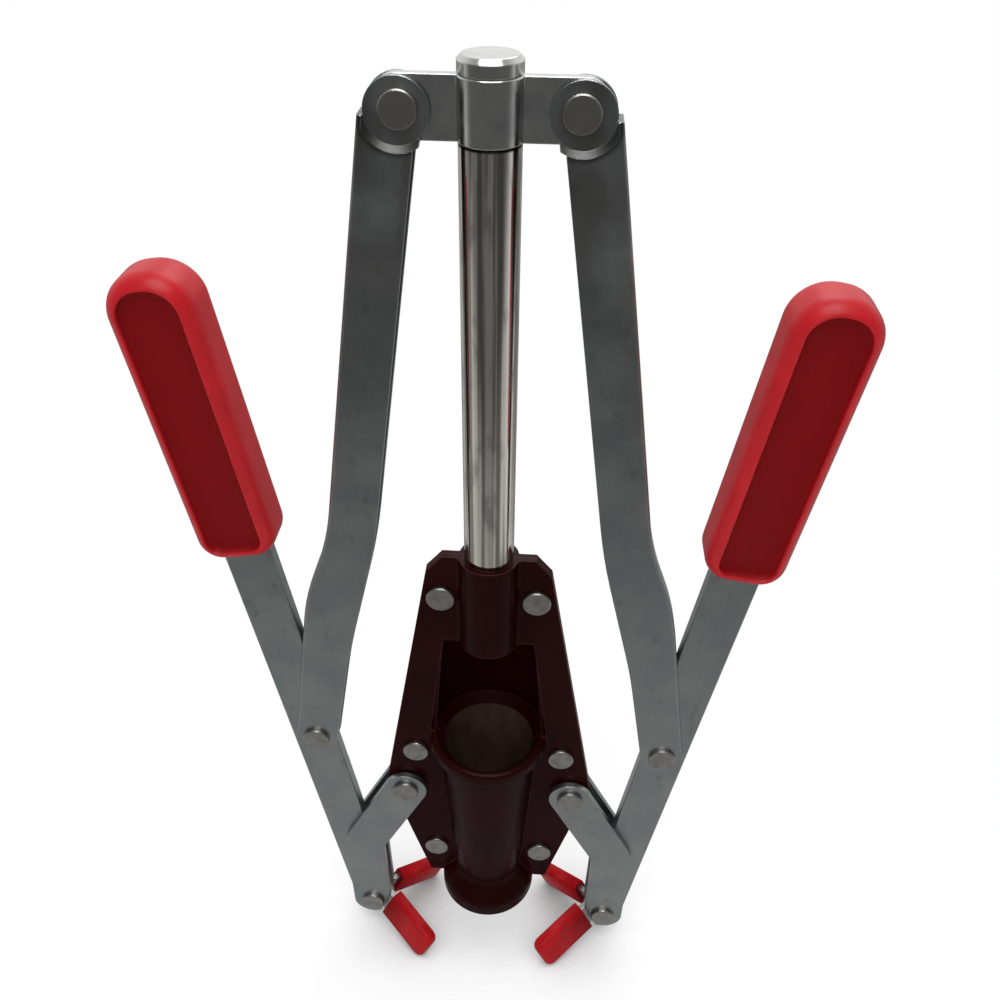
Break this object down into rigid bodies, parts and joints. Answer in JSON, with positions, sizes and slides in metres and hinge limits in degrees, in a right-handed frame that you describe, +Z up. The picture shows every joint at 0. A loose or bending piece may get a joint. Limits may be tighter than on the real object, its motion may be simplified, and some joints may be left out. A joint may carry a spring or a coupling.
{
  "type": "twin lever corker",
  "caption": "Hand corker: two levers drive a plunger through a guide, funnel and cone while hinged claws grip a bottle neck.",
  "frame": {"origin": "on the table, under the middle of the plunger rod, as the tool stands on its claw sleeves", "axes": "+Z up along the plunger rod, -Y towards the window of the funnel, +X to the right seen from the front"},
  "size_m": [0.2276, 0.0476, 0.3902],
  "materials": {
    "maroon_paint": "glossy dark maroon enamel",
    "chrome_rod": "polished chrome",
    "zinc_bright": "machined, bright zinc plated",
    "zinc_plate": "satin zinc plated sheet",
    "rivet_steel": "satin nickel plated",
    "red_grip": "moulded red plastic, fine grain",
    "red_vinyl": "soft red vinyl"
  },
  "bodies": {
    "root": {"front_shell": "maroon_paint", "rear_shell": "maroon_paint", "shell_rivets": "rivet_steel", "left_link_pin": "rivet_steel", "right_link_pin": "rivet_steel"},
    "plunger": {"plunger_rod": "chrome_rod", "crosshead": "zinc_bright", "top_cap": "zinc_bright", "left_arm_pin": "rivet_steel", "right_arm_pin": "rivet_steel"},
    "right_arm": {"right_channel_arm": "zinc_plate", "right_lever_rivet": "rivet_steel"},
    "right_claw": {"right_front_claw_link": "zinc_plate", "right_rear_claw_link": "zinc_plate", "right_front_sleeve": "red_vinyl", "right_rear_sleeve": "red_vinyl", "right_fork_pin": "rivet_steel"},
    "right_lever": {"right_lever_bar": "zinc_plate", "right_grip": "red_grip"},
    "left_arm": {"left_channel_arm": "zinc_plate", "left_lever_rivet": "rivet_steel"},
    "left_claw": {"left_front_claw_link": "zinc_plate", "left_rear_claw_link": "zinc_plate", "left_front_sleeve": "red_vinyl", "left_rear_sleeve": "red_vinyl", "left_fork_pin": "rivet_steel"},
    "left_lever": {"left_lever_bar": "zinc_plate", "left_grip": "red_grip"}
  },
  "joints": [
    {"name": "plunger_slide", "type": "slide", "parent": "root", "child": "plunger", "axis": [0, 0, -1], "range_m": [0, 0.141]},
    {"name": "right_arm_swing", "type": "hinge", "parent": "plunger", "child": "right_arm", "pos_m": [0.0239, 0, 0.37676], "axis": [0, -1, 0], "range_deg": [0, 18.92]},
    {"name": "right_claw_swing", "type": "hinge", "parent": "root", "child": "right_claw", "pos_m": [0.0347, 0, 0.09966], "axis": [0, 1, 0], "range_deg": [0, 14]},
    {"name": "right_lever_swing", "type": "hinge", "parent": "right_claw", "child": "right_lever", "pos_m": [0.0542, 0, 0.01546], "axis": [0, 1, 0], "range_deg": [0, 66.45]},
    {"name": "left_arm_swing", "type": "hinge", "parent": "plunger", "child": "left_arm", "pos_m": [-0.0239, 0, 0.37676], "axis": [0, 1, 0], "range_deg": [0, 18.92]},
    {"name": "left_claw_swing", "type": "hinge", "parent": "root", "child": "left_claw", "pos_m": [-0.0347, 0, 0.09966], "axis": [0, -1, 0], "range_deg": [0, 14]},
    {"name": "left_lever_swing", "type": "hinge", "parent": "left_claw", "child": "left_lever", "pos_m": [-0.0542, 0, 0.01546], "axis": [0, -1, 0], "range_deg": [0, 66.45]}
  ],
  "couplings": [
    {"joint": "right_arm_swing", "follows": "plunger_slide", "rad_per_m": 2.3418},
    {"joint": "right_claw_swing", "follows": "plunger_slide", "rad_per_m": 1.7329},
    {"joint": "right_lever_swing", "follows": "plunger_slide", "rad_per_m": 8.2248},
    {"joint": "left_arm_swing", "follows": "plunger_slide", "rad_per_m": 2.3418},
    {"joint": "left_claw_swing", "follows": "plunger_slide", "rad_per_m": 1.7329},
    {"joint": "left_lever_swing", "follows": "plunger_slide", "rad_per_m": 8.2248}
  ]
}
